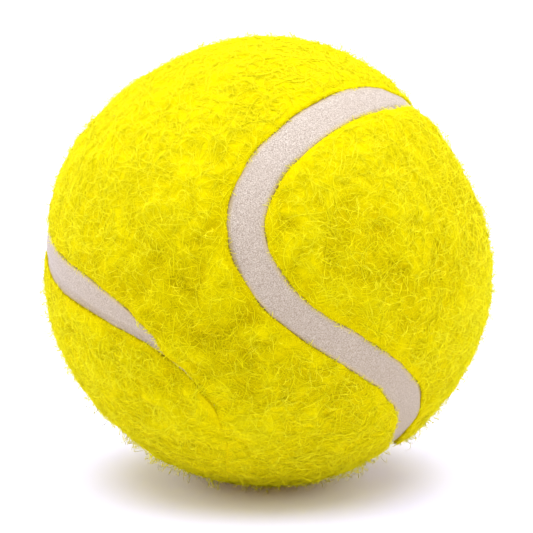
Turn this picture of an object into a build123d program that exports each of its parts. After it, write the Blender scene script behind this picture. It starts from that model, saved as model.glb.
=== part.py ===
from build123d import *
from math import acos, atan2, cos, degrees, pi, radians, sin, sqrt
import os

# A tennis ball: a hollow rubber core made of two cups, cemented and coated,
# covered by two felt panels, with a strip of rubber cement in the seam between them.
# Millimetres and degrees. The origin is the centre of the ball, +Z is up as it lies,
# and the viewer stands at -Y. Longitude 0 faces the viewer and grows towards +X.

# Sizes of the layers, from the inside out
core_wall = 3.4
core_diameter = 60.2
core_coat_thickness = 0.2
panel_cement_thickness = 0.2
backing_thickness = 0.8
nap_thickness = 2.2

# Joint between the two cups
cup_joint_gap = 0.3
cup_lip_chamfer = 0.6
cup_bead_height = 0.4

# Seam strip and the edges of the felt beside it
seam_width = 5.5
seam_crown_depth = 0.35
seam_edge_depth = 1.2
nap_edge_round = 0.6

# Where one panel creeps over the strip: its width beside the closed stretch, and the closed line
narrowed_width = 3.7
closed_width = 0.6

# Where the strip closes and opens, in degrees of travel along the stretch of the seam it does so on:
# it closes along the run after the under turn, opens again late in the side turn, and comes
# back to its full width early in the run after that
closing_begins = 3.0
closing_ends = 16.0
opening_begins = 75.0
widening_begins = 2.0
widening_ends = 18.0

# The seam is a closed line of five round turns joined by straight runs: each turn has
# a centre (longitude, latitude), an angular radius and a hand, +1 for a turn to the left.
tongue_turn_longitude = 22.0
tongue_turn_latitude = 20.5
tongue_turn_radius = 25.0
bend_turn_longitude = 19.0
bend_turn_latitude = -37.0
bend_turn_radius = 22.0
under_turn_longitude = 115.0
under_turn_latitude = -76.5
under_turn_radius = 16.5
side_turn_longitude = -46.5
side_turn_latitude = -32.5
side_turn_radius = 32.0
back_turn_longitude = 166.0
back_turn_latitude = 43.0
back_turn_radius = 35.0

# How far the cutting solids reach past what they cut
cut_margin = 3.0

# Radii of the layers
core_radius = core_diameter / 2
cavity_radius = core_radius - core_wall
coat_radius = core_radius + core_coat_thickness
cement_radius = coat_radius + panel_cement_thickness
backing_radius = cement_radius + backing_thickness
ball_radius = backing_radius + nap_thickness
strip_crown_radius = ball_radius - seam_crown_depth
strip_edge_radius = ball_radius - seam_edge_depth

# Angles that the seam's widths take on the surface of the ball
half_seam = seam_width / 2 / ball_radius
round_angle = nap_edge_round / ball_radius
closed_offset = half_seam - closed_width / ball_radius
narrowed_offset = half_seam - narrowed_width / ball_radius
margin_offset = -half_seam - cut_margin / ball_radius

CENTRE = Vector(0, 0, 0)
LEFT = 1
RIGHT = -1


def direction(longitude, latitude):
    """Unit vector from the centre of the ball to a place on it."""
    lon = radians(longitude)
    lat = radians(latitude)
    return Vector(cos(lat) * sin(lon), -cos(lat) * cos(lon), sin(lat))


def turned(point, axis, angle):
    """The point turned about an axis through the centre, angle in radians."""
    along = axis * (axis.dot(point) * (1 - cos(angle)))
    return point * cos(angle) + axis.cross(point) * sin(angle) + along


def angle_about(axis, start, end):
    """Angle of travel about an axis from start to end, from 0 to a full turn."""
    start_arm = start - axis * axis.dot(start)
    end_arm = end - axis * axis.dot(end)
    angle = atan2(start_arm.cross(end_arm).dot(axis), start_arm.dot(end_arm))
    return angle % (2 * pi)


class Stretch:
    """A piece of the seam's middle line: an arc about an axis through the centre."""

    def __init__(self, axis, start, end):
        self.axis = axis
        self.start = start
        self.sweep = angle_about(axis, start, end)
        self.polar = acos(axis.dot(start))

    def place(self, travel, offset):
        """Direction at an angle of travel, offset to the left of the middle line."""
        polar = self.polar - offset
        middle = turned(self.start, self.axis, travel)
        arm = (middle - self.axis * self.axis.dot(middle)).normalized()
        return arm * sin(polar) + self.axis * cos(polar)

    def section_point(self, radius, offset):
        """A point of the cross-section, in its own plane."""
        polar = self.polar - offset
        return (radius * sin(polar), radius * cos(polar))

    def swept(self, section, begin, end):
        """Solid swept by a cross-section between two angles of travel."""
        first = turned(self.start, self.axis, begin)
        arm = (first - self.axis * self.axis.dot(first)).normalized()
        plane = Plane(CENTRE, x_dir=arm, z_dir=arm.cross(self.axis))
        face = plane * section(self)
        return revolve(face, Axis(CENTRE, self.axis), degrees(end - begin))


def turn(longitude, latitude, radius, hand):
    return (direction(longitude, latitude), radians(radius), hand)


def run_axis(first, second):
    """Axis of the straight run that leaves one turn and enters the next."""
    centre_1, radius_1, hand_1 = first
    centre_2, radius_2, hand_2 = second
    lift_1 = hand_1 * sin(radius_1)
    lift_2 = hand_2 * sin(radius_2)
    both = centre_1.dot(centre_2)
    spread = 1 - both * both
    level = centre_1 * ((lift_1 - both * lift_2) / spread)
    level += centre_2 * ((lift_2 - both * lift_1) / spread)
    return level + centre_1.cross(centre_2).normalized() * sqrt(1 - level.dot(level))


def touch(axis, centre):
    """Where a run with this axis touches a turn about this centre."""
    return (centre - axis * axis.dot(centre)).normalized()


def seam_line(turns):
    """The turns and the runs after them, as a list of (turn, run) stretches."""
    axes = [run_axis(turns[i], turns[(i + 1) % len(turns)]) for i in range(len(turns))]
    pairs = []
    for i, (centre, _, hand) in enumerate(turns):
        next_centre = turns[(i + 1) % len(turns)][0]
        leaves = touch(axes[i], centre)
        bend = Stretch(centre * hand, touch(axes[i - 1], centre), leaves)
        run = Stretch(axes[i], leaves, touch(axes[i], next_centre))
        pairs.append((bend, run))
    return pairs


def channel_section(stretch):
    """Gap between the panels: straight walls, rounded where they meet the felt's surface."""
    at = stretch.section_point
    floor = core_radius - cut_margin
    sky = ball_radius + cut_margin
    shoulder = ball_radius - nap_edge_round
    lip = half_seam + round_angle
    round_middle = shoulder + nap_edge_round * sin(pi / 4)
    round_offset = lip - round_angle * cos(pi / 4)
    right_wall = Line(at(floor, -half_seam), at(shoulder, -half_seam))
    right_round = ThreePointArc(right_wall @ 1, at(round_middle, -round_offset), at(ball_radius, -lip))
    top = Polyline(right_round @ 1, at(sky, -lip), at(sky, lip), at(ball_radius, lip))
    left_round = ThreePointArc(top @ 1, at(round_middle, round_offset), at(shoulder, half_seam))
    left_wall = Polyline(left_round @ 1, at(floor, half_seam), right_wall @ 0)
    return make_face([right_wall, right_round, top, left_round, left_wall])


def strip_section(stretch):
    """Strip of cement: it sits on the core's coat, fills the gap and has a crowned top."""
    at = stretch.section_point
    seat = ThreePointArc(at(coat_radius, -half_seam), at(coat_radius, 0), at(coat_radius, half_seam))
    left_side = Line(seat @ 1, at(strip_edge_radius, half_seam))
    crown = ThreePointArc(left_side @ 1, at(strip_crown_radius, 0), at(strip_edge_radius, -half_seam))
    right_side = Line(crown @ 1, seat @ 0)
    return make_face([seat, left_side, crown, right_side])


def creep_section(left_offset):
    """Cross-section of what the creeping panel takes from the gap, up to an offset."""
    def section(stretch):
        at = stretch.section_point
        floor = core_radius - 2 * cut_margin
        sky = ball_radius + 2 * cut_margin
        corners = [(floor, margin_offset), (sky, margin_offset), (sky, left_offset), (floor, left_offset)]
        return make_face(Polyline(*[at(*corner) for corner in corners], close=True))
    return section


def trimmed(solid, first, second, kept):
    """The solid's side, towards a kept direction, of the plane through the centre and two places."""
    normal = first.cross(second).normalized()
    side = Keep.TOP if normal.dot(kept) > 0 else Keep.BOTTOM
    return split(solid, bisect_by=Plane(CENTRE, z_dir=normal), keep=side)


def creep(under_run, side_turn, side_run):
    """What one panel takes from the gap where it creeps over the strip and closes it."""
    closing = radians(closing_begins)
    shut = radians(closing_ends)
    opening = radians(opening_begins)
    widening = radians(widening_begins)
    wide = radians(widening_ends)
    past_wide = wide + cut_margin / ball_radius
    closed = creep_section(closed_offset)
    narrowed = creep_section(narrowed_offset)

    closes = trimmed(
        under_run.swept(closed, 0, under_run.sweep),
        under_run.place(closing, -half_seam),
        under_run.place(shut, closed_offset),
        under_run.place(shut, margin_offset),
    )
    stays_closed = side_turn.swept(closed, 0, opening)
    opens = trimmed(
        side_turn.swept(closed, opening, side_turn.sweep),
        side_turn.place(opening, closed_offset),
        side_turn.place(side_turn.sweep, narrowed_offset),
        side_turn.place(opening, margin_offset),
    )
    widens = trimmed(
        side_run.swept(narrowed, 0, past_wide),
        side_run.place(widening, narrowed_offset),
        side_run.place(wide, -half_seam),
        side_run.place(widening, margin_offset),
    )
    return closes + stays_closed + opens + widens


def along_seam(pairs, section):
    """One closed ring of a cross-section all along the seam."""
    pieces = []
    for pair in pairs:
        for stretch in pair:
            pieces.append(stretch.swept(section, 0, stretch.sweep))
    return pieces[0].fuse(*pieces[1:])


def hollow_sphere(inner_radius, outer_radius):
    """A closed layer between two radii, turned about the line through the panels' middles."""
    outer = ThreePointArc((0, -outer_radius), (outer_radius, 0), (0, outer_radius))
    inner = ThreePointArc((0, inner_radius), (inner_radius, 0), (0, -inner_radius))
    face = make_face([outer, Line(outer @ 1, inner @ 0), inner, Line(inner @ 1, outer @ 0)])
    plane = Plane(CENTRE, x_dir=LAYER_SIDE, z_dir=LAYER_SIDE.cross(LAYER_POLE))
    return revolve(plane * face, Axis(CENTRE, LAYER_POLE))


def panels(inner_radius, outer_radius, channel, inside_b):
    """A layer of the cover, cut by the seam's channel into panel A and panel B."""
    layer = hollow_sphere(inner_radius, outer_radius) - channel
    probe = inside_b * ((inner_radius + outer_radius) / 2)
    panel_a = [solid for solid in layer.solids() if not solid.is_inside(probe)]
    panel_b = [solid for solid in layer.solids() if solid.is_inside(probe)]
    return panel_a[0], panel_b[0]


def sphere_width(radius, height):
    """Half width of a sphere at a height above its middle."""
    return sqrt(radius * radius - height * height)


def core_cup():
    """Upper rubber cup: half a hollow sphere with a flat lip, bevelled inside."""
    lip = cup_joint_gap / 2
    bevel = lip + cup_lip_chamfer
    slant = sin(pi / 4)
    outer = ThreePointArc(
        (sphere_width(core_radius, lip), lip),
        (core_radius * slant, core_radius * slant),
        (0, core_radius),
    )
    inner = ThreePointArc(
        (0, cavity_radius),
        (cavity_radius * slant, cavity_radius * slant),
        (sphere_width(cavity_radius, bevel), bevel),
    )
    axis_line = Line(outer @ 1, inner @ 0)
    lip_line = Polyline(inner @ 1, (cavity_radius + cup_lip_chamfer, lip), outer @ 0)
    face = make_face([outer, axis_line, inner, lip_line])
    return revolve(Plane.XZ * face, Axis.Z)


def cup_joint():
    """Ring of cement between the cups' lips, with a bead squeezed out inside."""
    lip = cup_joint_gap / 2
    bevel = lip + cup_lip_chamfer
    rim = sphere_width(core_radius, lip)
    bead = sphere_width(cavity_radius, bevel)
    outer = ThreePointArc((rim, -lip), (core_radius, 0), (rim, lip))
    upper = Polyline(outer @ 1, (cavity_radius + cup_lip_chamfer, lip), (bead, bevel))
    inner = ThreePointArc(upper @ 1, (cavity_radius - cup_bead_height, 0), (bead, -bevel))
    lower = Polyline(inner @ 1, (cavity_radius + cup_lip_chamfer, -lip), outer @ 0)
    face = make_face([outer, upper, inner, lower])
    return revolve(Plane.XZ * face, Axis.Z)


# The layers' poles lie in the middle of panel A and of panel B, clear of the seam
LAYER_POLE = direction(-40, 30)
LAYER_SIDE = direction(50, 0)

turns = [
    turn(tongue_turn_longitude, tongue_turn_latitude, tongue_turn_radius, LEFT),
    turn(bend_turn_longitude, bend_turn_latitude, bend_turn_radius, RIGHT),
    turn(under_turn_longitude, under_turn_latitude, under_turn_radius, RIGHT),
    turn(side_turn_longitude, side_turn_latitude, side_turn_radius, LEFT),
    turn(back_turn_longitude, back_turn_latitude, back_turn_radius, RIGHT),
]
seam = seam_line(turns)
tongue_centre = turns[0][0]
under_run = seam[2][1]
side_turn, side_run = seam[3]
crept = creep(under_run, side_turn, side_run)
channel = along_seam(seam, channel_section) - crept
seam_strip = along_seam(seam, strip_section) - crept

upper_cup = core_cup()
nodes = {
    "core_cup_upper": upper_cup,
    "core_cup_lower": mirror(upper_cup, about=Plane.XY),
    "cup_joint_cement": cup_joint(),
    "core_cement_coat": hollow_sphere(core_radius, coat_radius),
    "seam_strip": seam_strip,
}
layers = {
    "cement": (coat_radius, cement_radius),
    "backing_cloth": (cement_radius, backing_radius),
    "nap": (backing_radius, ball_radius),
}
for name, (inner_radius, outer_radius) in layers.items():
    panel_a, panel_b = panels(inner_radius, outer_radius, channel, tongue_centre)
    nodes["panel_a_" + name] = panel_a
    nodes["panel_b_" + name] = panel_b

os.makedirs("parts", exist_ok=True)
for name, solid in nodes.items():
    export_step(solid, os.path.join("parts", name + ".step"))
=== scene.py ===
import itertools
import math

import bpy
import numpy as np
from mathutils import Matrix, Vector


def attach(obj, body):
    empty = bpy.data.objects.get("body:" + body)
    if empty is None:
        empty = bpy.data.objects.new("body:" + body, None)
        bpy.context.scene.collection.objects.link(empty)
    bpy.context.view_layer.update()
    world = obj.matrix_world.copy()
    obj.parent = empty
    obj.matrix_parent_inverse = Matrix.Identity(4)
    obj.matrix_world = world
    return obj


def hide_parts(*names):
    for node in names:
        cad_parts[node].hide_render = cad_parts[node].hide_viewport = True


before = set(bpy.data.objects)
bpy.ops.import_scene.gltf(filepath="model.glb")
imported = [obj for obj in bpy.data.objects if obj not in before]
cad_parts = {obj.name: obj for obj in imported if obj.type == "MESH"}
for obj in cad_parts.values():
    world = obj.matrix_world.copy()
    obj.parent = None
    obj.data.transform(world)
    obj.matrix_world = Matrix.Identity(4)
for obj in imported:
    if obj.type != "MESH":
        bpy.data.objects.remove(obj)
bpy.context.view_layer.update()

# A tennis ball on a white table: two felt panels with their fibres, and the cement strip in the seam.
# Shapes are worked out in millimetres and degrees and written to the meshes in metres.
MM = 0.001

# Layers, from the centre of the ball
coat_radius = 30.3
backing_radius = 31.3
ball_radius = 33.5
strip_crown_radius = 33.18

# Seam: the strip's widths, and where it closes and opens again, in degrees of travel
seam_width = 5.5
closed_width = 0.6
closing_begins = 3.0
closing_ends = 16.0
opening_begins = 75.0
opening_length = 9.5

# Where the closed seam felts over, in degrees of travel
felting_reach = 3.0
felted_ends = 44.0
crease_begins = 63.0

LEFT = 1
RIGHT = -1

# Round turns of the seam: longitude, latitude, angular radius and hand
seam_turns = [
    (22.0, 20.5, 25.0, LEFT),
    (19.0, -37.0, 22.0, RIGHT),
    (115.0, -76.5, 16.5, RIGHT),
    (-46.5, -32.5, 32.0, LEFT),
    (166.0, 43.0, 35.0, RIGHT),
]
UNDER_RUN = 5
SIDE_TURN = 6
SIDE_RUN = 7

# How far felt covers or bares the strip's edges: stretch and share of it, then right and left edge in mm
edge_moves = [
    (0.0, 0.15, 0.2),
    (0.2, 0.25, 0.3),
    (0.35, -0.3, -0.1),
    (0.6, -0.45, -0.5),
    (0.8, 0.0, -0.4),
    (1.1, -0.25, -0.95),
    (1.3, -0.1, -0.85),
    (1.6, 0.3, -0.25),
    (1.9, 0.4, -0.3),
    (2.4, -0.05, -0.65),
    (2.9, 0.1, -0.2),
    (3.1, 0.9, 0.4),
    (3.2, 0.7, 0.0),
    (3.3, 0.1, -0.8),
    (3.4, 0.0, -2.6),
    (3.52, 0.0, -3.2),
    (3.75, 0.0, -1.6),
    (4.0, 0.0, 0.0),
    (6.3, 0.0, 0.0),
    (6.8, 0.8, 0.8),
    (6.9, 1.2, 1.15),
    (7.0, 0.85, 1.05),
    (7.1, 0.8, 1.15),
    (7.2, 1.55, 1.75),
    (7.35, 1.4, 1.75),
    (7.6, 0.0, 0.0),
    (9.0, 0.0, 0.0),
    (9.22, 1.6, 0.0),
    (9.38, 2.9, 0.2),
    (9.47, 2.9, 0.3),
    (9.56, 1.7, 0.6),
    (9.65, 0.8, 0.4),
    (9.8, -0.25, -0.2),
    (9.9, -0.45, -0.1),
    (10.0, 0.15, 0.2),
]

# Strip: rounded towards its edges, slightly swollen here and there, and tucked under the felt
strip_columns = 21
strip_rows_per_degree = 1.8
strip_least_rows = 8
strip_tuck = 0.12
strip_round = 0.08
strip_edge_drop = 0.17
strip_swell = 0.035
strip_swell_size = 2.4

# Widths between which a narrowing strip comes to be stained all over, as its edges are
clean_width = 2.4
stained_width = 1.3

# Each panel's random seed
panel_seeds = {"a": 101, "b": 202}

# Felt: sizes and heights of its puffs, dents, tufts and broad swell, and how far their places are warped
grid_steps = 86
nap_sink = 0.08
puff_size = 1.7
puff_height = 0.42
puff_warp = 1.6
dent_size = 3.1
dent_height = 0.42
dent_warp = 1.2
tuft_size = 1.0
tuft_height = 0.08
tuft_warp = 0.5
swell_size = 13.0
swell_height = 0.25
warp_size = 4.0

# Strength of the relief: at least, more or less by patches, and more where the felt is ruffled
relief_least = 0.6
relief_patchy = 0.3
relief_patch_size = 14.0
relief_ruffled = 0.8

# Felt towards a panel's edge: how calm and how far sunk it is, with reaches from the edge
edge_inset = 0.9
edge_calm = 0.3
edge_calm_reach = 1.8
edge_sink = 0.3
edge_sink_reach = 1.7

# Where the strip is all but shut, one panel's edge stands over the other's
lip_heights = {"a": 0.36, "b": -0.3}
lip_reach = 2.2
lip_open_width = 3.5
lip_shut_width = 0.8

# A felted seam counts as this many mm further inside the felt, for its relief and for fibres
felted_calm = 3.0
felted_bridge = 4.0

# Section of a panel's edge: distance inside the edge line, and depth under the felt
edge_section = [
    (0.55, 0.01),
    (0.32, 0.04),
    (0.15, 0.12),
    (0.03, 0.26),
    (-0.05, 0.48),
    (-0.06, 0.9),
    (0.0, 1.5),
    (0.02, 2.2),
]
rolled_depth = 0.8
felted_reach = 0.4
loose_distances = (0.7, 0.3)
loose_depths = (1.5, 0.9)

# Values for the felt's colour on its edges, with painted shade on the walls down by the strip, and on the
# side that lies on the backing
wall_height = -0.1
wall_shade = (0.2, 0.5)
inner_height = -2.0

# How the edge wanders: height, size and shift of the noise
edge_wander = [
    (0.14, 1.3, 0.0),
    (0.1, 3.7, 5.0),
]

# Where the felt is most ruffled, with more relief, and darkened by painted shade on ground and fibres:
# longitude, latitude and reach in degrees, and weight
ruffled_places = [
    (-18.0, 0.0, 24.0, 1.0),
    (30.0, 4.0, 20.0, 0.42),
]
# Painted shade in the ruffled patch: on the fibres' tone, on the ground, and most of all on the ground in
# its dips, between these heights
ruffled_shade = 0.36
ruffled_ground_shade = 0.54
dip_shade_share = 0.35
dip_shade_heights = (0.25, -0.35)

# Broad highs and lows of the felt round the outline: angle up from the viewer's right, reach and height
felt_lumps = [
    (33.0, 24.0, -1.3),
    (92.0, 16.0, 0.45),
    (125.0, 14.0, -0.25),
    (152.0, 18.0, 0.4),
    (230.0, 18.0, -0.35),
    (345.0, 22.0, 0.55),
]
panel_lumps = {
    "a": [(54.0, 12.0, -0.2)],
    "b": [(40.0, 14.0, -0.4), (306.0, 14.0, 0.5)],
}
strip_lumps = [
    (44.0, 22.0, -1.5),
    (312.0, 18.0, -0.4),
]

# Shifts that keep noises of one table apart
warp_shift = 7.3
dent_shift = 3.1
swell_shift = 8.2
lie_shift = 2.7
patchy_shift = 4.4
strip_shift = 9.0

# Fibres: number on each mm2 of felt or mm of edge, length, bend, points along each, width and flatness
strands_per_mm2 = 1.2
strand_length = 5.4
strand_bend = 0.3
strand_points = 12
strand_width = 0.09
strand_flatness = 0.45
fine_per_mm2 = 1.8
fine_length = 3.6
fine_bend = 0.45
fine_points = 6
fine_width = 0.06
fine_flatness = 0.35
raised_per_mm2 = 1.6
raised_points = 6
raised_width = 0.075
raised_flatness = 0.8
fringe_per_mm = 9.0
fringe_points = 5
fringe_width = 0.07
fringe_flatness = 0.8
width_range = (0.7, 1.3)
fibre_round = 0.7
tone_spread = 0.2
lie_size = 9.0
most_faces = 190000

# Lying fibres: where they start and end, how high they lie and how they dip
lying_inside = 0.15
walk_steps = 24
least_steps = 5
overhang_range = (-0.25, 0.35)
lying_level = (0.05, 0.08)
loose_share = 0.08
loose_range = (0.1, 0.35)
wave_range = (0.5, 2.5)
wave_height = 0.08
end_dip = 0.14
edge_droop = 0.35
droop_range = (0.5, -0.2)

# Raised fibres: where they start and end, how far they lean, rise and bow over
raised_inside = 0.5
raised_end_inside = 0.1
raised_root = 0.1
lean_range = (0.6, 2.6)
rise_range = (0.12, 1.9)
rise_patchy = 0.6
rise_patch_size = 2.6
bow_range = (0.9, 2.0)

# Fringe along the edges: how far inside its fibres start, their lengths, slants and heights
fringe_inside = (0.05, 0.7)
fringe_lengths = (0.2, 1.5)
fringe_slant = 0.9
fringe_most_slant = 1.45
fringe_lift = (-0.1, 0.12)
fringe_arch = 0.1
fringe_sink = 0.06
fringe_root = 0.12
fringe_over = (0.3, -0.7)

# Colours of the felt's ground where it lies low, with painted shade in the hollows, where it lies high, and
# where painted shade darkens it, each from its darkest mat to its lightest
mat_stops = (0.36, 0.48, 0.65)
ground_low = [(0.52, 0.395, 0.0), (0.65, 0.51, 0.0), (0.74, 0.605, 0.0)]
ground_high = [(0.70, 0.58, 0.0), (0.83, 0.71, 0.0), (0.895, 0.78, 0.0)]
ground_shaded = [(0.27, 0.195, 0.0), (0.43, 0.33, 0.0), (0.57, 0.45, 0.0)]

# Colours of the fibres, from the deepest to the lightest
tone_stops = (0.1, 0.5, 0.95)
web_colours = [(0.75, 0.625, 0.0), (0.925, 0.825, 0.0025), (0.97, 0.90, 0.018)]
fuzz_colours = [(0.81, 0.69, 0.0), (0.945, 0.85, 0.0045), (0.99, 0.92, 0.028)]

# Painted light: lighter, evener colour of ground and fibres towards the ball's top, where the light falls
# most; evener colour towards the foot: heights in metres and share
lit_top_range = (0.01, 0.031, 0.6)
foot_range = (-0.01, -0.027, 0.4)
ground_lit_top = (0.855, 0.75, 0.0)
ground_foot = (0.73, 0.595, 0.0)
fibre_lit_top = (0.895, 0.805, 0.004)
fibre_foot = (0.885, 0.765, 0.0)

# Colours of the strip: its grain, its clouds, painted shade towards the foot, stained edges and a rim of
# painted shade in the gaps by the felt
grain_stops = (0.36, 0.5, 0.64)
grain_colours = [(0.29, 0.22, 0.185), (0.52, 0.435, 0.38), (0.80, 0.72, 0.675)]
cloud_colour = (0.49, 0.395, 0.345)
foot_shade_range = (0.02, -0.006, 0.4)
foot_shade_colour = (0.375, 0.275, 0.18)
stained_colour = (0.60, 0.45, 0.17)
gap_shade_colour = (0.25, 0.155, 0.02)

# Soft pale glow of fuzz that is seen at a slant
sheen = {"Sheen_Weight": 0.04, "Sheen_Roughness": 0.4, "Sheen_Tint": (1.0, 0.96, 0.4, 1.0)}

# Camera: its elevation, distance and lens, the sensor's width, and where it aims beside the ball's centre
camera_elevation = 12.0
camera_distance = 435.5
camera_lens = 195.8
sensor_width = 36
aim_right = -0.07
aim_down = 0.62

# White room: light of the sky, and the table's colour for light and as it is seen
sky_strength = 0.5
table_reach = 4.0
table_white = (0.9, 0.9, 0.9)
table_seen = (0.9, 0.95, 1.4)
table_glow = (0.1, 0.05, 0.01)

# Lamps: name, place, diameter and power
lamps = [
    ("overhead", (0, -0.2, 3.0), 4.4, 142.0),
    ("left_side", (-3.0, 0.3, 1.35), 2.4, 33.0),
    ("right_side", (3.0, 0.3, 1.35), 2.4, 32.0),
]


def unit(vectors):
    """Vectors of the same way and length 1."""
    return vectors / np.linalg.norm(vectors, axis=-1, keepdims=True)


def dot(first, second):
    """Scalar products of rows of vectors, as a column."""
    return np.sum(first * second, axis=-1, keepdims=True)


def direction(longitude, latitude):
    """Unit vector to a place on the ball. Longitude 0 faces the viewer, at -Y."""
    lon = math.radians(longitude)
    lat = math.radians(latitude)
    return np.array([math.cos(lat) * math.sin(lon), -math.cos(lat) * math.cos(lon), math.sin(lat)])


def smooth(low, high, value):
    """0 below low, 1 above high, and a smooth step between."""
    share = np.clip((value - low) / (high - low), 0, 1)
    return share * share * (3 - 2 * share)


def curve(places, knots, values):
    """Smooth curve through values at knots."""
    rises = np.diff(values) / np.diff(knots)
    steady = rises[:-1] * rises[1:] > 0
    slopes = np.zeros(len(knots))
    slopes[1:-1][steady] = 2 / (1 / rises[:-1][steady] + 1 / rises[1:][steady])
    low = np.clip(np.searchsorted(knots, places) - 1, 0, len(knots) - 2)
    gap = knots[low + 1] - knots[low]
    share = (places - knots[low]) / gap
    first = values[low] + slopes[low] * gap * share
    second = values[low + 1] - slopes[low + 1] * gap * (1 - share)
    return first + (second - first) * smooth(0, 1, share)


class Stretch:
    """A piece of the seam's middle line: an arc about an axis through the centre."""

    def __init__(self, axis, start, end):
        self.axis = axis
        self.polar = math.acos(axis @ start)
        self.arm = unit(start - axis * (axis @ start))
        self.side = np.cross(axis, self.arm)
        self.sweep = math.atan2(end @ self.side, end @ self.arm) % (2 * math.pi)

    def place(self, travel, offset):
        """Directions at angles of travel, offset to the left of the middle line."""
        polar = (self.polar - offset)[:, None]
        arm = self.arm * np.cos(travel)[:, None] + self.side * np.sin(travel)[:, None]
        return arm * np.sin(polar) + self.axis * np.cos(polar)

    def find(self, places):
        """Angle of travel and offset to the left of directions beside this stretch."""
        travel = np.arctan2(places @ self.side, places @ self.arm) % (2 * math.pi)
        offset = self.polar - np.arccos(np.clip(places @ self.axis, -1, 1))
        return travel, offset


def run_axis(first, second):
    """Axis of the straight run that leaves one turn and enters the next."""
    centre_1, lift_1 = direction(*first[:2]), first[3] * math.sin(math.radians(first[2]))
    centre_2, lift_2 = direction(*second[:2]), second[3] * math.sin(math.radians(second[2]))
    both = centre_1 @ centre_2
    spread = 1 - both * both
    level = centre_1 * ((lift_1 - both * lift_2) / spread) + centre_2 * ((lift_2 - both * lift_1) / spread)
    return level + unit(np.cross(centre_1, centre_2)) * math.sqrt(1 - level @ level)


def seam_line(turns):
    """The stretches of the closed line: each turn, then the run after it."""
    count = len(turns)
    axes = [run_axis(turns[i], turns[(i + 1) % count]) for i in range(count)]
    line = []
    for i, (longitude, latitude, _, hand) in enumerate(turns):
        centre = direction(longitude, latitude)
        after = direction(*turns[(i + 1) % count][:2])
        arrives = unit(centre - axes[i - 1] * (axes[i - 1] @ centre))
        leaves = unit(centre - axes[i] * (axes[i] @ centre))
        enters = unit(after - axes[i] * (axes[i] @ after))
        line.append(Stretch(centre * hand, arrives, leaves))
        line.append(Stretch(axes[i], leaves, enters))
    return line


def band(index, travel):
    """Offsets in mm of the strip's right and left edges that show, at angles of travel along a stretch."""
    degrees = np.degrees(travel)
    width = np.full_like(degrees, seam_width)
    if index == UNDER_RUN:
        width = np.interp(degrees, [closing_begins, closing_ends], [seam_width, closed_width])
    if index in (SIDE_TURN, SIDE_RUN):
        turn_mm = ball_radius * math.sin(seam[SIDE_TURN].polar)
        opened = turn_mm * (travel - math.radians(opening_begins))
        if index == SIDE_RUN:
            opened = turn_mm * (seam[SIDE_TURN].sweep - math.radians(opening_begins)) + ball_radius * travel
        share = 1 - np.exp(-np.maximum(opened, 0) / opening_length)
        width = closed_width + (seam_width - closed_width) * share
    knots, right_moves, left_moves = np.array(edge_moves).T
    progress = index + travel / seam[index].sweep
    right = seam_width / 2 - width + curve(progress, knots, right_moves)
    return right, seam_width / 2 + curve(progress, knots, left_moves)


def felted(index, travel):
    """How far the closed seam has felted over, from 0 to 1, at angles of travel along a stretch."""
    degrees = np.degrees(travel)
    if index == UNDER_RUN:
        return smooth(closing_ends - felting_reach, closing_ends + felting_reach, degrees)
    if index == SIDE_TURN:
        return smooth(crease_begins, felted_ends, degrees)
    return np.zeros_like(degrees)


class Beside:
    """Where places lie beside the seam: mm left of its middle, the strip's edges and how felted it is."""

    def __init__(self, places):
        far = 10.0
        nearest = np.full(len(places), far)
        self.right_edge = np.full(len(places), -seam_width / 2)
        self.left_edge = np.full(len(places), seam_width / 2)
        self.felted = np.zeros(len(places))
        left = np.zeros((len(places), 3))
        for index, stretch in enumerate(seam):
            travel, offset = stretch.find(places)
            better = (travel <= stretch.sweep) & (np.abs(offset) < np.abs(nearest))
            nearest[better] = offset[better]
            self.right_edge[better], self.left_edge[better] = band(index, travel[better])
            self.felted[better] = felted(index, travel[better])
            left[better] = stretch.axis
        self.left = unit(left - places * dot(left, places))
        self.offset = nearest * ball_radius


def inside_panel(places, panel):
    """How far inside a panel's edge places are, in mm, the way out of it, and the seam beside them."""
    beside = Beside(places)
    if panel == "b":
        return beside.offset - beside.left_edge, -beside.left, beside
    return beside.right_edge - beside.offset, beside.left, beside


class Lattice:
    """Smooth random values from -1 to 1 in space, the same on every run."""

    def __init__(self, seed):
        self.table = np.random.default_rng(seed).uniform(-1, 1, (32, 32, 32))

    def __call__(self, points):
        cell = np.floor(points).astype(int)
        part = points - cell
        part = part * part * (3 - 2 * part)
        total = np.zeros(len(points))
        for corner in range(8):
            step = np.array([corner & 1, corner >> 1 & 1, corner >> 2 & 1])
            share = np.prod(np.where(step, part, 1 - part), axis=1)
            place = (cell + step) % 32
            total += share * self.table[place[:, 0], place[:, 1], place[:, 2]]
        return total


puff_noise = Lattice(11)
tuft_noise = Lattice(12)
warp_noise = [Lattice(13), Lattice(14), Lattice(15)]
patch_noise = Lattice(16)
edge_noise = Lattice(17)


def ruffled(places):
    """How ruffled the felt is, from 0 to 1."""
    total = np.zeros(len(places))
    for longitude, latitude, reach, weight in ruffled_places:
        apart = np.degrees(np.arccos(np.clip(places @ direction(longitude, latitude), -1, 1)))
        total += weight * np.exp(-((apart / reach) ** 2))
    return total.clip(0, 1)


def relief(places):
    """Height of the felt's puffs and tufts, in mm, about 0 on the whole."""
    points = places * ball_radius
    warp = np.stack([noise(points / warp_size + warp_shift) for noise in warp_noise], axis=1)
    puffs = puff_noise((points + puff_warp * warp) / puff_size)
    dents = puff_noise((points + dent_warp * warp) / dent_size + dent_shift)
    tufts = tuft_noise((points + tuft_warp * warp) / tuft_size)
    swell = swell_height * patch_noise(points / swell_size + swell_shift)
    strength = relief_least + relief_patchy * patch_noise(points / relief_patch_size)
    strength += relief_ruffled * ruffled(places)
    return swell + strength * (puff_height * puffs + dent_height * dents + tuft_height * tufts)


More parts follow.
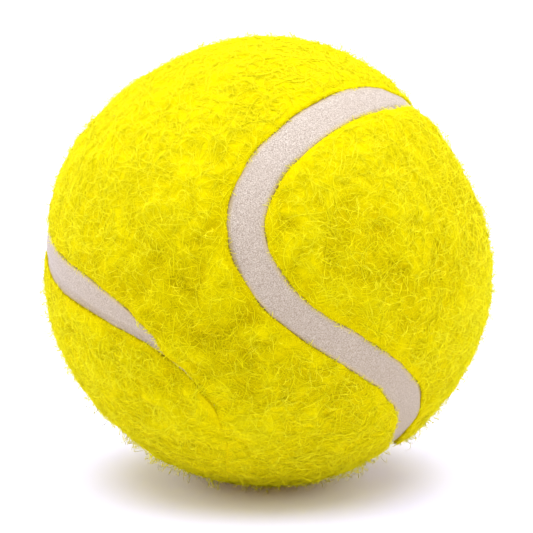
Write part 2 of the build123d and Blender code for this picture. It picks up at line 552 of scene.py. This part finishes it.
def broad_form(places, lumps):
    """Height of broad highs and lows, in mm."""
    tilt = math.radians(camera_elevation)
    total = np.zeros(len(places))
    for angle, reach, height in lumps:
        turn = math.radians(angle)
        way = np.array([math.cos(turn), math.sin(turn) * math.sin(tilt), math.sin(turn) * math.cos(tilt)])
        apart = np.degrees(np.arccos(np.clip(places @ way, -1, 1)))
        total += height * np.exp(-((apart / reach) ** 2))
    return total


def felt_height(places, panel):
    """Height of a panel's felt over the ball's radius and distance inside its edge, in mm, and the seam."""
    inside, _, beside = inside_panel(places, panel)
    distance = np.maximum(inside, felted_calm * beside.felted)
    calm = edge_calm + (1 - edge_calm) * smooth(0.0, edge_calm_reach, distance)
    open_width = beside.left_edge - beside.right_edge
    shut = smooth(lip_open_width, lip_shut_width, open_width) * (1 - beside.felted)
    within = np.maximum(inside, 0)
    height = relief(places) * calm + lip_heights[panel] * shut * np.exp(-within / lip_reach)
    height -= edge_sink * (1 - beside.felted) * np.exp(-within / edge_sink_reach)
    height += broad_form(places, felt_lumps + panel_lumps[panel])
    return height, inside, beside


def felt_normals(places, panel):
    """The way out of the felt's puffed surface."""
    step = 0.2
    aslant = np.array([0.31, 0.52, 0.8])
    side = unit(np.cross(places, aslant))
    ahead = np.cross(places, side)
    here = felt_height(places, panel)[0]
    across = felt_height(moved(places, side, step), panel)[0] - here
    along = felt_height(moved(places, ahead, step), panel)[0] - here
    return unit(places - side * (across / step)[:, None] - ahead * (along / step)[:, None])


def icosahedron():
    """The corners of each of an icosahedron's faces, in the order that turns it outwards."""
    golden = (1 + math.sqrt(5)) / 2
    longest_side = 1.06
    corners = []
    for a in (-1, 1):
        for b in (-golden, golden):
            corners += [(0, a, b), (a, b, 0), (b, 0, a)]
    corners = unit(np.array(corners))
    faces = []
    for trio in itertools.combinations(range(len(corners)), 3):
        a, b, c = corners[list(trio)]
        sides = [np.linalg.norm(a - b), np.linalg.norm(b - c), np.linalg.norm(c - a)]
        if max(sides) < longest_side:
            faces.append((a, b, c) if np.cross(b - a, c - a) @ a > 0 else (a, c, b))
    return faces


def geodesic_grid(steps):
    """Unit sphere of triangles: each face of an icosahedron cut into steps by steps."""
    number = {}
    for row in range(steps + 1):
        for column in range(steps + 1 - row):
            number[row, column] = len(number)
    shares = np.array(list(number)) / steps
    triangles = []
    for row in range(steps):
        for column in range(steps - row):
            below = number[row + 1, column]
            ahead = number[row, column + 1]
            triangles.append((number[row, column], below, ahead))
            if column + row < steps - 1:
                triangles.append((below, number[row + 1, column + 1], ahead))
    triangles = np.array(triangles)
    points = []
    links = []
    for index, (a, b, c) in enumerate(icosahedron()):
        points.append(unit(a + (b - a) * shares[:, :1] + (c - a) * shares[:, 1:]))
        links.append(triangles + index * len(number))
    points = np.concatenate(points)
    _, first, same = np.unique(np.round(points, 7), axis=0, return_index=True, return_inverse=True)
    return points[first], same.reshape(-1)[np.concatenate(links)]


def moved(places, way, distance):
    """Directions moved along the sphere by distances in mm."""
    angle = (np.asarray(distance) / ball_radius).reshape(-1, 1)
    return places * np.cos(angle) + way * np.sin(angle)


def clipped(points, triangles, panel):
    """The grid's part that lies further inside a panel than the inset, with its edge on that line."""
    face_angle = 1.1
    snap_share = 0.38
    inside, out, _ = inside_panel(points, panel)
    step = ball_radius * face_angle / grid_steps
    close = np.abs(inside - edge_inset) < snap_share * step
    points = points.copy()
    points[close] = moved(points[close], out[close], inside[close] - edge_inset)
    level = np.where(close, 0.0, inside - edge_inset)
    most = level[triangles].max(axis=1)
    least = level[triangles].min(axis=1)
    whole = triangles[(least >= 0) & (most > 0)]
    cut = triangles[(least < 0) & (most > 0)]
    extra = []
    made = {}
    pieces = []

    def crossing(a, b):
        key = (min(a, b), max(a, b))
        if key not in made:
            share = level[a] / (level[a] - level[b])
            made[key] = len(points) + len(extra)
            extra.append(unit(points[a] + (points[b] - points[a]) * share))
        return made[key]

    for triangle in cut:
        ring = []
        for k in range(3):
            a, b = triangle[k], triangle[(k + 1) % 3]
            if level[a] >= 0:
                ring.append(a)
            if level[a] * level[b] < 0:
                ring.append(crossing(a, b))
        pieces += [(ring[0], ring[k], ring[k + 1]) for k in range(1, len(ring) - 1)]
    points = np.concatenate([points, np.array(extra)])
    triangles = np.concatenate([whole, np.array(pieces)])
    used, links = np.unique(triangles, return_inverse=True)
    return points[used], links.reshape(-1, 3)


def rim_loop(triangles):
    """Vertices round the open edge of a mesh, in the order of its faces."""
    edges = np.concatenate([triangles[:, [0, 1]], triangles[:, [1, 2]], triangles[:, [2, 0]]])
    known = {(a, b) for a, b in edges.tolist()}
    following = {a: b for a, b in known if (b, a) not in known}
    loop = [min(following)]
    while following[loop[-1]] != loop[0]:
        loop.append(following[loop[-1]])
    return np.array(loop)


def felt_panel(panel, grid):
    """Closed shell of felt: puffed outside, rounded edge, and the side that lies on the backing."""
    places, triangles = clipped(*grid, panel)
    height, _, _ = felt_height(places, panel)
    outer = places * (ball_radius - nap_sink + height)[:, None]
    loop = rim_loop(triangles)
    rim = places[loop]
    inside, out, beside = inside_panel(rim, panel)
    wander = sum(high * edge_noise(rim * ball_radius / size + shift) for high, size, shift in edge_wander)
    rows = []
    for distance, depth in edge_section:
        loose = smooth(*loose_distances, distance) * smooth(*loose_depths, depth)
        reach = inside - distance + loose * (wander + felted_reach * beside.felted)
        way = moved(rim, out, reach)
        deep = depth * np.where(depth < rolled_depth, 1 - beside.felted, 1)
        radius = np.maximum(ball_radius - nap_sink + height[loop] - deep, backing_radius)
        if depth == edge_section[-1][1]:
            radius = np.full(len(loop), backing_radius)
        rows.append(unit(way) * radius[:, None])
    inner = places * backing_radius
    count = len(places)
    ring = len(loop)
    points = np.concatenate([outer, *rows, inner])
    faces = [triangles, triangles[:, ::-1] + count + ring * len(rows)]
    lines = [loop] + [count + ring * row + np.arange(ring) for row in range(len(rows))]
    lines.append(loop + count + ring * len(rows))
    for upper, lower in zip(lines[:-1], lines[1:]):
        upper_next = np.roll(upper, -1)
        lower_next = np.roll(lower, -1)
        faces.append(np.stack([upper, lower, upper_next], axis=1))
        faces.append(np.stack([upper_next, lower, lower_next], axis=1))
    depths = np.array([depth for _, depth in edge_section])
    heights = np.concatenate([height, np.repeat(wall_height - depths, ring), np.full(count, inner_height)])
    # Painted shade on the edge's walls, down in the gap by the strip, and the darkest value for the side on
    # the backing
    shaded = smooth(*wall_shade, depths)[:, None] * (1 - beside.felted)
    dark = np.concatenate([np.zeros(count), shaded.ravel(), np.ones(count)])
    return points, np.concatenate(faces), heights, dark


def felt_painted_shade(points, heights, dark):
    """Painted shade on the felt's ground: on its edges' walls, and where it is ruffled, most of all in the
    dips.
    """
    dip_shade = 1 - dip_shade_share + dip_shade_share * smooth(*dip_shade_heights, heights)
    return np.maximum(dark, ruffled_ground_shade * ruffled(unit(points)) * dip_shade)


def strip_mesh():
    """The strip of cement: a crowned top between the panels' edges, closed below on the core's coat."""
    past_edge = 1.05
    rows = []
    widths = []
    for index, stretch in enumerate(seam):
        round_degrees = math.degrees(stretch.sweep) * math.sin(stretch.polar)
        count = max(strip_least_rows, int(round_degrees * strip_rows_per_degree))
        travel = np.linspace(0, stretch.sweep, count, endpoint=False)
        low, high = band(index, travel)
        low = low - strip_tuck
        high = high + strip_tuck
        widths.append(high - low)
        row = []
        for share in np.linspace(0, 1, strip_columns):
            offset = low + (high - low) * share
            middle = np.clip(np.abs(offset) / (seam_width / 2), 0, past_edge)
            place = stretch.place(travel, offset / ball_radius)
            swell = strip_swell * puff_noise(place * ball_radius / strip_swell_size + strip_shift)
            drop = strip_round * middle ** 2 + strip_edge_drop * middle ** 14
            radius = strip_crown_radius - drop + swell + broad_form(place, strip_lumps)
            row.append(place * radius[:, None])
        for offset in (high, low):
            row.append(stretch.place(travel, offset / ball_radius) * coat_radius)
        rows.append(np.stack(row, axis=1))
    rings = np.concatenate(rows)
    count, ring = rings.shape[:2]
    shares = np.abs(np.linspace(-1, 1, strip_columns))
    narrow = smooth(clean_width, stained_width, np.concatenate(widths))
    edge = np.ones((count, ring))
    edge[:, :strip_columns] = np.maximum(shares, narrow[:, None])
    index = np.arange(count * ring).reshape(count, ring)
    ahead = np.roll(index, -1, axis=0)
    beside = np.roll(index, -1, axis=1)
    both = np.roll(ahead, -1, axis=1)
    quads = np.stack([index, ahead, both, beside], axis=2).reshape(-1, 4)
    return rings.reshape(-1, 3), quads, edge.ravel()


def new_piece(name, points, faces, material):
    """Mesh object from points in mm and faces, riding on the ball."""
    mesh = bpy.data.meshes.new(name)
    size = faces.shape[1]
    mesh.vertices.add(len(points))
    mesh.vertices.foreach_set("co", (points * MM).astype(np.float32).ravel())
    mesh.loops.add(faces.size)
    mesh.loops.foreach_set("vertex_index", faces.astype(np.int32).ravel())
    mesh.polygons.add(len(faces))
    mesh.polygons.foreach_set("loop_start", np.arange(0, faces.size, size, dtype=np.int32))
    mesh.polygons.foreach_set("use_smooth", np.ones(len(faces), bool))
    mesh.update(calc_edges=True)
    mesh.validate()
    mesh.materials.append(material)
    piece = bpy.data.objects.new(name, mesh)
    bpy.context.scene.collection.objects.link(piece)
    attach(piece, "root")
    return piece


def set_values(piece, name, values):
    """One number for each vertex, for the materials to read."""
    attribute = piece.data.attributes.new(name, "FLOAT", "POINT")
    attribute.data.foreach_set("value", np.asarray(values, np.float32))


def scattered(rng, panel, per_mm2, least_inside):
    """Directions spread evenly over a panel, some mm inside its edge."""
    count = int(4 * math.pi * ball_radius ** 2 * per_mm2)
    places = unit(rng.normal(size=(count, 3)))
    inside, _, _ = inside_panel(places, panel)
    return places[inside > least_inside]


def headings(rng, places, swirl):
    """A way along the surface at each place: partly with the lie of the felt there, partly at random."""
    points = places * ball_radius
    lie = np.stack([noise(points / lie_size + lie_shift) for noise in warp_noise], axis=1)
    way = unit(lie) * swirl + rng.normal(size=places.shape)
    return unit(way - places * dot(way, places))


def walk(places, way, curl, lengths, steps):
    """Paths over the sphere: rows of directions, bending by curl radians for each mm."""
    stride = lengths / steps
    angle = (stride / ball_radius)[:, None]
    path = [places]
    for step in range(steps):
        ahead = places * np.cos(angle) + way * np.sin(angle)
        way = way * np.cos(angle) - places * np.sin(angle)
        turn = (curl[0] + curl[1] * (step / steps - 0.5)) * stride
        way = way * np.cos(turn)[:, None] + np.cross(ahead, way) * np.sin(turn)[:, None]
        places = unit(ahead)
        way = unit(way - places * dot(way, places))
        path.append(places)
    return np.stack(path, axis=1)


def tubes(paths, width, normals, flatness):
    """Thin three-sided fibres with pointed ends along rows of points, and the ways their sides face."""
    count, steps, _ = paths.shape
    ahead = unit(np.gradient(paths, axis=1))
    side = unit(np.cross(normals, ahead))
    up = np.cross(ahead, side) * flatness
    half = (width / 2)[:, None, None]
    rings = []
    lit = []
    for angle in (math.pi / 2, math.pi * 7 / 6, math.pi * 11 / 6):
        round_it = (side * math.cos(angle) + up * math.sin(angle))[:, 1:-1]
        rings.append(paths[:, 1:-1] + half * round_it)
        lit.append(unit(normals[:, 1:-1] + fibre_round * round_it))
    body = np.stack(rings, axis=2).reshape(count, -1, 3)
    points = np.concatenate([paths[:, :1], body, paths[:, -1:]], axis=1)
    body = np.stack(lit, axis=2).reshape(count, -1, 3)
    lit = np.concatenate([normals[:, :1], body, normals[:, -1:]], axis=1)
    per = points.shape[1]
    faces = []
    inner = steps - 2
    for k in range(3):
        n = (k + 1) % 3
        faces.append((0, 1 + n, 1 + k))
        for row in range(inner - 1):
            a, b = 1 + row * 3 + k, 1 + row * 3 + n
            faces.append((a, b, b + 3))
            faces.append((a, b + 3, a + 3))
        last = 1 + (inner - 1) * 3
        faces.append((last + k, last + n, per - 1))
    faces = np.array(faces)
    links = (faces[None] + (np.arange(count) * per)[:, None, None]).reshape(-1, 3)
    return points.reshape(-1, 3), links, lit.reshape(-1, 3), per


def fibre_pieces(name, panel, paths, width, flatness, tone, material):
    """Fibres as pieces, each small enough to be kept whole."""
    pieces = []
    per_fibre = 6 * (paths.shape[1] - 2)
    parts = math.ceil(len(paths) * per_fibre / most_faces)
    for number, share in enumerate(np.array_split(np.arange(len(paths)), parts)):
        places = unit(paths[share].reshape(-1, 3))
        normals = felt_normals(places, panel).reshape(paths[share].shape)
        points, links, lit, per = tubes(paths[share], width[share], normals, flatness)
        title = f"{name}_{panel}_{number + 1}" if parts > 1 else f"{name}_{panel}"
        piece = new_piece(title, points, links, material)
        piece.data.normals_split_custom_set_from_vertices(lit)
        set_values(piece, "tone", np.repeat(tone[share], per))
        pieces.append(piece)
    return pieces


def trimmed(rng, path, panel, steps):
    """Paths that end near the panel's edge, set out in even steps. The shortest are left out."""
    inside, _, beside = inside_panel(path.reshape(-1, 3), panel)
    across = inside + felted_bridge * beside.felted
    outside = across.reshape(len(path), -1) < rng.uniform(*overhang_range, len(path))[:, None]
    ends = np.where(outside.any(axis=1), outside.argmax(axis=1), walk_steps)
    keep = ends >= least_steps
    path = path[keep]
    at = np.linspace(0, 1, steps)[None] * ends[keep][:, None]
    low = np.floor(at).astype(int).clip(0, walk_steps - 1)
    part = (at - low)[..., None]
    row = np.arange(len(path))[:, None]
    return unit(path[row, low] * (1 - part) + path[row, low + 1] * part)


def lying_fibres(rng, panel, per_mm2, length, bend, steps):
    """Fibres that lie over the felt in curves, dipping in at their ends and here and there between."""
    places = scattered(rng, panel, per_mm2, lying_inside)
    count = len(places)
    lengths = rng.gamma(4.0, length / 4, count).clip(0.4 * length, 2.2 * length)
    curl = rng.normal(0, bend, count), rng.normal(0, 2.2 * bend, count)
    path = walk(places, headings(rng, places, 1.0), curl, lengths, walk_steps)
    path = trimmed(rng, path, panel, steps)
    count = len(path)
    height, inside, beside = felt_height(path.reshape(-1, 3), panel)
    height = height.reshape(count, steps)
    inside = (inside + felted_bridge * beside.felted).reshape(count, steps)
    level = rng.normal(*lying_level, count)
    loose = rng.random(count) < loose_share
    level[loose] += rng.uniform(*loose_range, loose.sum())
    share = np.linspace(0, 1, steps)[None]
    phase = share * rng.uniform(*wave_range, count)[:, None] + rng.random(count)[:, None]
    arch = np.sin(math.pi * share) ** 0.6
    lift = (level[:, None] + end_dip) * arch - end_dip + wave_height * np.sin(2 * math.pi * phase)
    droop = -edge_droop * smooth(*droop_range, inside)
    radius = ball_radius - nap_sink + height + lift + droop
    ruffle = ruffled(path[:, 0])
    # Painted light and shade: fibres are lighter where they lie higher over the ground and where the felt
    # stands high, and darker in the ruffled patch
    raised = (0.5 + 0.15 * ruffle) * height.mean(axis=1)
    tone = 0.45 + 0.9 * level + raised + rng.normal(0, tone_spread, count) - ruffled_shade * ruffle
    return path * radius[..., None], tone.clip(0, 1)


def raised_fibres(rng, panel, steps):
    """Short fibres that stand out of the felt, curl and lean over."""
    places = scattered(rng, panel, raised_per_mm2, raised_inside)
    count = len(places)
    lean = rng.uniform(*lean_range, count)
    curl = rng.normal(0, 0.9, count), rng.normal(0, 1.4, count)
    path = walk(places, headings(rng, places, 0.5), curl, lean, steps - 1)
    height, _, _ = felt_height(path[:, 0], panel)
    share = np.linspace(0, 1, steps)[None]
    patchy = 1 + rise_patchy * patch_noise(places * ball_radius / rise_patch_size + patchy_shift)
    rise = (rng.gamma(2.0, 0.34, count) * patchy).clip(*rise_range)
    bow = rng.uniform(*bow_range, count)
    lift = rise[:, None] * np.sin(share * math.pi / 2 * bow[:, None])
    radius = ball_radius - nap_sink - raised_root + height[:, None] + lift
    end_inside, _, _ = inside_panel(path[:, -1], panel)
    keep = end_inside > raised_end_inside
    # Painted light and shade: taller raised fibres are lighter, and those in the ruffled patch darker
    tone = 0.55 + 0.3 * rise + rng.normal(0, tone_spread, count) - ruffled_shade * ruffled(places)
    return (path * radius[..., None])[keep], tone.clip(0, 1)[keep]


def fringe_fibres(rng, panel, steps):
    """Short fibres along a panel's edge that reach over the strip."""
    rows = []
    for index, stretch in enumerate(seam):
        count = int(stretch.sweep * math.sin(stretch.polar) * ball_radius * fringe_per_mm)
        travel = rng.uniform(0, stretch.sweep, count)
        back = rng.uniform(*fringe_inside, count)
        low, high = band(index, travel)
        edge = high + back if panel == "b" else low - back
        rows.append(stretch.place(travel, edge / ball_radius))
    places = np.concatenate(rows)
    _, out, _ = inside_panel(places, panel)
    count = len(places)
    along = np.cross(places, out)
    slant = rng.normal(0, fringe_slant, count).clip(-fringe_most_slant, fringe_most_slant)[:, None]
    way = out * np.cos(slant) + along * np.sin(slant)
    lengths = rng.gamma(3.0, 0.18, count).clip(*fringe_lengths)
    curl = rng.normal(0, 0.8, count), rng.normal(0, 0.8, count)
    path = walk(places, way, curl, lengths, steps - 1)
    height, _, _ = felt_height(places, panel)
    share = np.linspace(0, 1, steps)[None]
    inside, _, _ = inside_panel(path.reshape(-1, 3), panel)
    over = smooth(*fringe_over, inside.reshape(count, steps))
    lift = rng.uniform(*fringe_lift, count)[:, None] + fringe_arch * np.sin(math.pi * share)
    radius = ball_radius - nap_sink + height[:, None] + lift - fringe_sink - fringe_sink * over
    radius[:, 0] -= fringe_root
    tone = rng.normal(0.5, 0.22, count).clip(0, 1)
    return path * radius[..., None], tone


class Nodes:
    """A material's node tree, built one node at a time."""

    def __init__(self, name):
        self.material = bpy.data.materials.new(name)
        self.material.use_nodes = True
        self.tree = self.material.node_tree
        self.shader = self.tree.nodes["Principled BSDF"]

    def add(self, kind, links=None, **settings):
        """A new node with its settings and the sockets that feed it."""
        node = self.tree.nodes.new(kind)
        for key, value in settings.items():
            if hasattr(node, key):
                setattr(node, key, value)
            else:
                node.inputs[key.replace("_", " ")].default_value = value
        for socket, source in (links or {}).items():
            self.tree.links.new(source, node.inputs[socket])
        return node

    def place(self):
        """Places on the piece, in metres."""
        return self.add("ShaderNodeTexCoord").outputs["Object"]

    def kept_value(self, name):
        """The number that a mesh keeps for each vertex."""
        return self.add("ShaderNodeAttribute", attribute_name=name).outputs["Fac"]

    def noise(self, scale, detail, roughness=0.55, distortion=0.0):
        """Smooth random values from 0 to 1."""
        settings = {"Scale": scale, "Detail": detail, "Roughness": roughness, "Distortion": distortion}
        return self.add("ShaderNodeTexNoise", {"Vector": self.place()}, **settings).outputs["Fac"]

    def ramp(self, source, positions, colours):
        """Colours that follow a value."""
        node = self.add("ShaderNodeValToRGB", {"Fac": source})
        elements = node.color_ramp.elements
        while len(elements) < len(positions):
            elements.new(0.5)
        for element, position, colour in zip(elements, positions, colours):
            element.position = position
            element.color = (*colour, 1)
        return node.outputs["Color"]

    def fade(self, source, begins, ends, least, most):
        """A share that goes from least to most while a value goes from begins to ends."""
        return self.ramp(source, (begins, ends), ((least, least, least), (most, most, most)))

    def share_up(self, begins, ends, most):
        """A share that grows from 0 to most between two heights over the ball's middle, in metres."""
        upward = self.add("ShaderNodeSeparateXYZ", {"Vector": self.place()}).outputs["Z"]
        settings = {"From_Min": begins, "From_Max": ends, "To_Max": most}
        return self.add("ShaderNodeMapRange", {"Value": upward}, **settings).outputs[0]

    def mixed(self, share, first, second, kind="MIX"):
        """Two colours mixed by a share. Each may be a socket or a plain value."""
        node = self.add("ShaderNodeMix", data_type="RGBA", blend_type=kind)
        for socket, value in ((0, share), (6, first), (7, second)):
            if isinstance(value, (int, float)):
                node.inputs[socket].default_value = value
            elif isinstance(value, tuple):
                node.inputs[socket].default_value = (*value, 1)
            else:
                self.tree.links.new(value, node.inputs[socket])
        return node.outputs[2]

    def bump(self, height, strength, distance):
        """Normals of a surface that is roughened by a height."""
        node = self.add("ShaderNodeBump", {"Height": height}, Strength=strength, Distance=distance)
        return node.outputs["Normal"]

    def shade(self, colour, normal=None, **settings):
        """The finished material."""
        self.tree.links.new(colour, self.shader.inputs["Base Color"])
        if normal is not None:
            self.tree.links.new(normal, self.shader.inputs["Normal"])
        for key, value in settings.items():
            self.shader.inputs[key.replace("_", " ")].default_value = value
        return self.material


def felt_material():
    """Ground of the felt: matted yellow fibre, with painted shade that deepens its colour where it lies
    low, on its edges' walls and in the ruffled patch, and painted light towards the top.
    """
    nodes = Nodes("felt_ground")
    height = nodes.kept_value("height")
    depth = nodes.add("ShaderNodeMapRange", {"Value": height}, From_Min=-0.45, From_Max=0.35).outputs[0]
    matted = nodes.noise(2600, 5.0, 0.7, 1.5)
    low = nodes.ramp(matted, mat_stops, ground_low)
    high = nodes.ramp(matted, mat_stops, ground_high)
    deep = nodes.ramp(matted, mat_stops, ground_shaded)
    # Painted shade: the ground is deeper in colour where it lies low, in the hollows
    colour = nodes.mixed(depth, low, high)
    # Painted shade: the ground darkened on its edges' walls and in the ruffled patch
    colour = nodes.mixed(nodes.kept_value("dark"), colour, deep)
    # Painted light: the ground lighter and evener towards the ball's top
    colour = nodes.mixed(nodes.share_up(*lit_top_range), colour, ground_lit_top)
    colour = nodes.mixed(nodes.share_up(*foot_range), colour, ground_foot)
    normal = nodes.bump(matted, 0.35, 0.0002)
    return nodes.shade(colour, normal, Roughness=0.95, Specular_IOR_Level=0.02, **sheen)


def fibre_material(name, colours):
    """Loose yellow fibres, each a little lighter or deeper than the next, partly by painted light and shade
    in their tone, and evener towards the top by painted light.
    """
    nodes = Nodes(name)
    colour = nodes.ramp(nodes.kept_value("tone"), tone_stops, colours)
    patches = nodes.fade(nodes.noise(300, 2.0), 0.35, 0.7, 0.0, 0.25)
    colour = nodes.mixed(patches, colour, colours[1])
    # Painted light: the fibres evener towards the ball's top
    colour = nodes.mixed(nodes.share_up(*lit_top_range), colour, fibre_lit_top)
    colour = nodes.mixed(nodes.share_up(*foot_range), colour, fibre_foot)
    return nodes.shade(colour, Roughness=0.75, Specular_IOR_Level=0.03, **sheen)


def strip_material():
    """Rubber cement: matte, light pinkish grey, with a fine pale grain, painted shade towards the foot and
    a broken brown rim of painted shade in the gaps by the felt.
    """
    nodes = Nodes("seam_cement")
    grain = nodes.noise(6000, 3.0, 0.7)
    colour = nodes.ramp(grain, grain_stops, grain_colours)
    clouds = nodes.fade(nodes.noise(240, 3.0, 0.5), 0.3, 0.7, 0.0, 0.35)
    colour = nodes.mixed(clouds, colour, cloud_colour)
    # Painted shade: the strip darker towards the ball's foot
    colour = nodes.mixed(nodes.share_up(*foot_shade_range), colour, foot_shade_colour)
    edge = nodes.kept_value("edge")
    colour = nodes.mixed(nodes.fade(edge, 0.7, 0.95, 0.0, 0.7), colour, stained_colour)
    # Painted shade: a broken dark brown line on the strip's very edges, in the gaps by the felt
    rim = nodes.fade(edge, 0.885, 0.945, 0.0, 1.0)
    breaks = nodes.fade(nodes.noise(520, 3.0, 0.6), 0.4, 0.62, 0.1, 0.95)
    broken_gap_shade = nodes.mixed(1.0, rim, breaks, "MULTIPLY")
    colour = nodes.mixed(broken_gap_shade, colour, gap_shade_colour)
    normal = nodes.bump(grain, 0.6, 0.00012)
    return nodes.shade(colour, normal, Roughness=0.55, Specular_IOR_Level=0.5)


def inner_material(name, dark, light, scale, roughness, bump_height):
    """Layers under the felt: two shades in a fine mottle, slightly rough."""
    nodes = Nodes(name)
    mottle = nodes.noise(scale, 6.0, 0.6)
    colour = nodes.ramp(mottle, (0.3, 0.7), (dark, light))
    return nodes.shade(colour, nodes.bump(mottle, 0.5, bump_height), Roughness=roughness)


def woven_material():
    """Backing cloth: a plain cream weave."""
    nodes = Nodes("backing_weave")
    place = nodes.place()
    threads = []
    for way in ("X", "Z"):
        settings = {"bands_direction": way, "Scale": 900, "Distortion": 0.4}
        threads.append(nodes.add("ShaderNodeTexWave", {"Vector": place}, **settings).outputs["Color"])
    weave = nodes.mixed(1.0, *threads, "MULTIPLY")
    colour = nodes.ramp(weave, (0.0, 1.0), ((0.42, 0.38, 0.22), (0.78, 0.74, 0.5)))
    return nodes.shade(colour, nodes.bump(weave, 0.6, 0.0002), Roughness=0.9)


def dress_inner_nodes():
    """Materials of the layers that stay as they are in the frame."""
    rubber = inner_material("core_rubber", (0.05, 0.05, 0.055), (0.09, 0.09, 0.095), 350, 0.7, 0.0001)
    joint = inner_material("cup_cement", (0.16, 0.11, 0.05), (0.26, 0.19, 0.09), 500, 0.6, 0.0001)
    coat = inner_material("core_cement", (0.20, 0.15, 0.08), (0.32, 0.25, 0.14), 420, 0.55, 0.00008)
    glue = inner_material("panel_cement", (0.38, 0.33, 0.24), (0.52, 0.46, 0.34), 600, 0.6, 0.00008)
    weave = woven_material()
    materials = {
        "core_cup_upper": rubber,
        "core_cup_lower": rubber,
        "cup_joint_cement": joint,
        "core_cement_coat": coat,
        "panel_a_cement": glue,
        "panel_b_cement": glue,
        "panel_a_backing_cloth": weave,
        "panel_b_backing_cloth": weave,
    }
    for name, material in materials.items():
        for material_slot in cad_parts[name].material_slots:
            material_slot.material = material


def seen_rays(tree):
    """1 for rays that come from the camera, a reflection or glass, and 0 for those that light the ball."""
    rays = tree.nodes.new("ShaderNodeLightPath")
    seen = rays.outputs["Is Camera Ray"]
    for kind in ("Is Glossy Ray", "Is Transmission Ray"):
        most = tree.nodes.new("ShaderNodeMath")
        most.operation = "MAXIMUM"
        tree.links.new(seen, most.inputs[0])
        tree.links.new(rays.outputs[kind], most.inputs[1])
        seen = most.outputs[0]
    return seen


def make_table():
    """White table under the ball, which looks white and keeps the ball's shadow."""
    floor_z = -ball_radius * MM
    signs = [(-1, -1), (1, -1), (1, 1), (-1, 1)]
    corners = [(x * table_reach, y * table_reach, floor_z) for x, y in signs]
    mesh = bpy.data.meshes.new("table")
    mesh.from_pydata(corners, [], [(0, 1, 2, 3)])
    white = Nodes("table_white")
    seen = seen_rays(white.tree)
    matte = white.add("ShaderNodeBsdfDiffuse", {"Color": white.mixed(seen, table_white, table_seen)})
    glow = white.add("ShaderNodeEmission", {"Strength": seen}, Color=(*table_glow, 1))
    both = white.add("ShaderNodeAddShader", {0: matte.outputs[0], 1: glow.outputs[0]})
    white.tree.links.new(both.outputs[0], white.tree.nodes["Material Output"].inputs["Surface"])
    mesh.materials.append(white.material)
    table = bpy.data.objects.new("table", mesh)
    bpy.context.scene.collection.objects.link(table)


def make_sky():
    """White surroundings, which light the ball with less than the white that is seen."""
    world = bpy.data.worlds.new("white_room")
    bpy.context.scene.world = world
    world.use_nodes = True
    tree = world.node_tree
    strength = tree.nodes.new("ShaderNodeMapRange")
    strength.inputs["To Min"].default_value = sky_strength
    strength.inputs["To Max"].default_value = 1.0
    tree.links.new(seen_rays(tree), strength.inputs["Value"])
    sky = tree.nodes["Background"]
    sky.inputs["Color"].default_value = (1, 1, 1, 1)
    tree.links.new(strength.outputs[0], sky.inputs["Strength"])


def make_lamps():
    """Wide soft lamps that face the ball."""
    for name, place, size, power in lamps:
        light = bpy.data.lights.new(name, "AREA")
        light.shape = "DISK"
        light.size = size
        light.energy = power
        lamp = bpy.data.objects.new(name, light)
        lamp.location = place
        lamp.rotation_euler = Vector(place).to_track_quat("Z", "Y").to_euler()
        bpy.context.scene.collection.objects.link(lamp)


def make_camera():
    """Camera in front of the ball, looking slightly down at it."""
    tilt = math.radians(camera_elevation)
    right = Vector((1, 0, 0))
    up = Vector((0, math.sin(tilt), math.cos(tilt)))
    back = Vector((0, -math.cos(tilt), math.sin(tilt)))
    aim = Vector((aim_right, 0, 0)) - up * aim_down
    data = bpy.data.cameras.new("camera")
    data.lens = camera_lens
    data.sensor_width = sensor_width
    camera = bpy.data.objects.new("camera", data)
    turn = Matrix((right, up, back)).transposed().to_4x4()
    camera.matrix_world = Matrix.Translation((aim + back * camera_distance) * MM) @ turn
    bpy.context.scene.collection.objects.link(camera)
    bpy.context.scene.camera = camera
    bpy.context.scene.view_settings.view_transform = "Standard"


seam = seam_line(seam_turns)
grid = geodesic_grid(grid_steps)
ground = felt_material()
web = fibre_material("felt_web", web_colours)
fuzz = fibre_material("felt_fuzz", fuzz_colours)
for panel, seed in panel_seeds.items():
    rng = np.random.default_rng(seed)
    points, faces, heights, dark = felt_panel(panel, grid)
    felt = new_piece("felt_panel_" + panel, points, faces, ground)
    set_values(felt, "height", heights)
    set_values(felt, "dark", felt_painted_shade(points, heights, dark))
    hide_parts(f"panel_{panel}_nap")
    strands = lying_fibres(rng, panel, strands_per_mm2, strand_length, strand_bend, strand_points)
    fine = lying_fibres(rng, panel, fine_per_mm2, fine_length, fine_bend, fine_points)
    raised = raised_fibres(rng, panel, raised_points)
    fringe = fringe_fibres(rng, panel, fringe_points)
    kinds = [
        ("strands", strands, strand_width, strand_flatness, web),
        ("fine_fibres", fine, fine_width, fine_flatness, web),
        ("raised_fibres", raised, raised_width, raised_flatness, fuzz),
        ("edge_fibres", fringe, fringe_width, fringe_flatness, fuzz),
    ]
    fibres = []
    for name, (path, tone), width, flatness, material in kinds:
        widths = width * rng.uniform(*width_range, len(path))
        fibres += fibre_pieces(name, panel, path, widths, flatness, tone, material)

strip_points, strip_faces, strip_edge = strip_mesh()
strip = new_piece("cement_strip", strip_points, strip_faces, strip_material())
set_values(strip, "edge", strip_edge)
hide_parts("seam_strip")
dress_inner_nodes()
make_table()
make_sky()
make_lamps()
make_camera()
